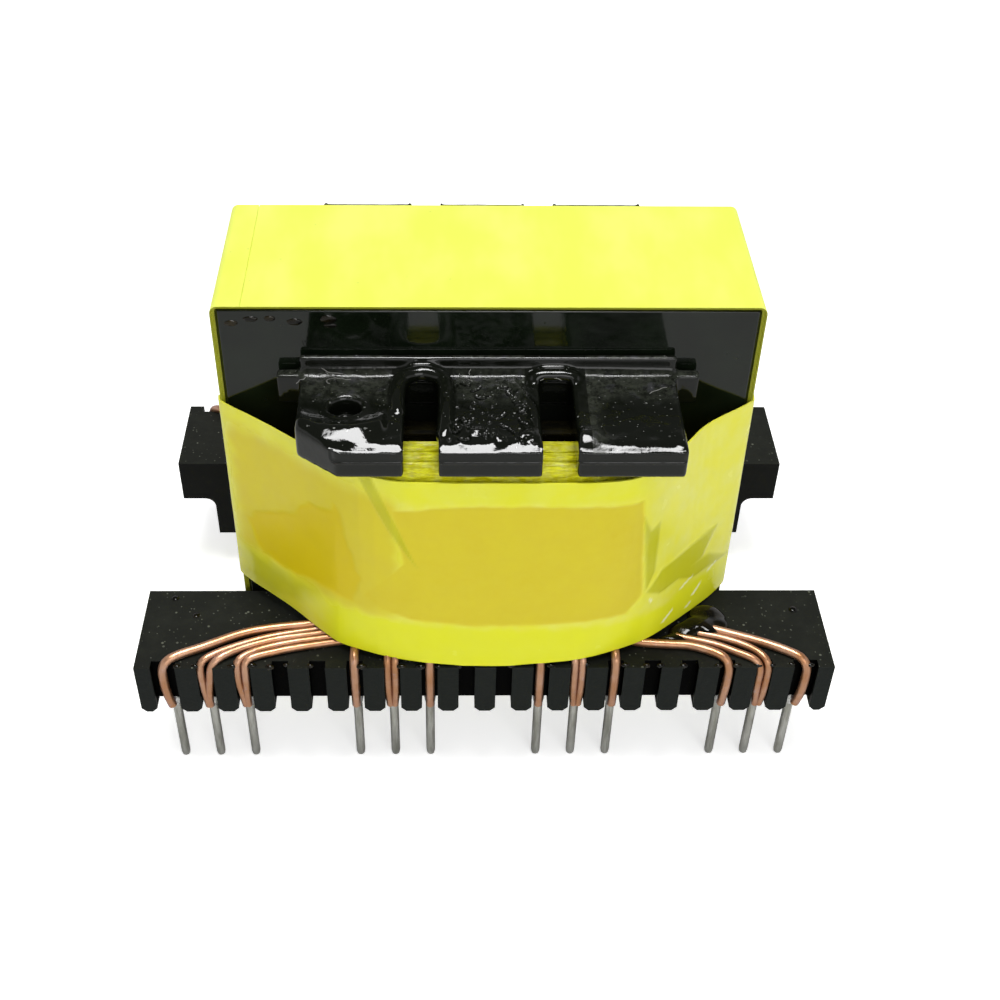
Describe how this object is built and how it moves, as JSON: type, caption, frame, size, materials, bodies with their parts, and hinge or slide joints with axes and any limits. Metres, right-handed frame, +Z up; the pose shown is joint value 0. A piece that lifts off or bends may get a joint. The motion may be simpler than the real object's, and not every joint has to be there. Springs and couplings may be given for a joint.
{
  "type": "through-hole ferrite-core power transformer",
  "caption": "Board-mounted transformer: taped ferrite E core round a taped winding on a black moulding with slotted pin rails, copper leads and straight pins.",
  "frame": {"origin": "centre of the pin pattern, on the plane where the standoff skirts meet the board", "axes": "+X along the pin rails, to the right when the pin 1 mark is at the front left; +Y from the front (marked) rail to the rear rail; +Z up, away from the board"},
  "size_m": [0.0476, 0.0296, 0.0336],
  "materials": {
    "bobbin_moulding": "varnished black moulding, dusty on the rails",
    "ferrite": "satin, varnished",
    "core_tape": "satin film tape",
    "inner_tape": "glossy film tape",
    "wrap_tape": "glossy film tape, varnished and creased",
    "copper": "enamelled copper wire",
    "lead_copper": "enamelled copper wire, varnished",
    "pin_metal": "bright tinned",
    "solder": "bright solder"
  },
  "bodies": {
    "root": {"bobbin": "bobbin_moulding", "upper_core_half": "ferrite", "lower_core_half": "ferrite", "core_binding_tape": "core_tape", "primary_winding": "copper", "primary_insulation_tape": "inner_tape", "secondary_winding": "copper", "secondary_insulation_tape": "inner_tape", "auxiliary_winding": "copper", "winding_cover_tape": "inner_tape", "outer_wrap_tape": "wrap_tape", "solder_joints": "solder", "pin_front_1": "pin_metal", "pin_front_2": "pin_metal", "pin_front_3": "pin_metal", "pin_front_6": "pin_metal", "pin_front_7": "pin_metal", "pin_front_8": "pin_metal", "pin_front_11": "pin_metal", "pin_front_12": "pin_metal", "pin_front_13": "pin_metal", "pin_front_16": "pin_metal", "pin_front_17": "pin_metal", "pin_front_18": "pin_metal", "pin_rear_1": "pin_metal", "pin_rear_2": "pin_metal", "pin_rear_3": "pin_metal", "pin_rear_6": "pin_metal", "pin_rear_7": "pin_metal", "pin_rear_8": "pin_metal", "pin_rear_11": "pin_metal", "pin_rear_12": "pin_metal", "pin_rear_13": "pin_metal", "pin_rear_16": "pin_metal", "pin_rear_17": "pin_metal", "pin_rear_18": "pin_metal", "lead_front_1": "lead_copper", "lead_front_2": "lead_copper", "lead_front_3": "lead_copper", "lead_front_6": "lead_copper", "lead_front_7": "lead_copper", "lead_front_8": "lead_copper", "lead_front_11": "lead_copper", "lead_front_12": "lead_copper", "lead_front_13": "lead_copper", "lead_front_16": "lead_copper", "lead_front_17": "lead_copper", "lead_front_18": "lead_copper", "lead_rear_1": "lead_copper", "lead_rear_2": "lead_copper", "lead_rear_3": "lead_copper", "lead_rear_6": "lead_copper", "lead_rear_7": "lead_copper", "lead_rear_8": "lead_copper", "lead_rear_11": "lead_copper", "lead_rear_12": "lead_copper", "lead_rear_13": "lead_copper", "lead_rear_16": "lead_copper", "lead_rear_17": "lead_copper", "lead_rear_18": "lead_copper"}
  },
  "joints": []
}
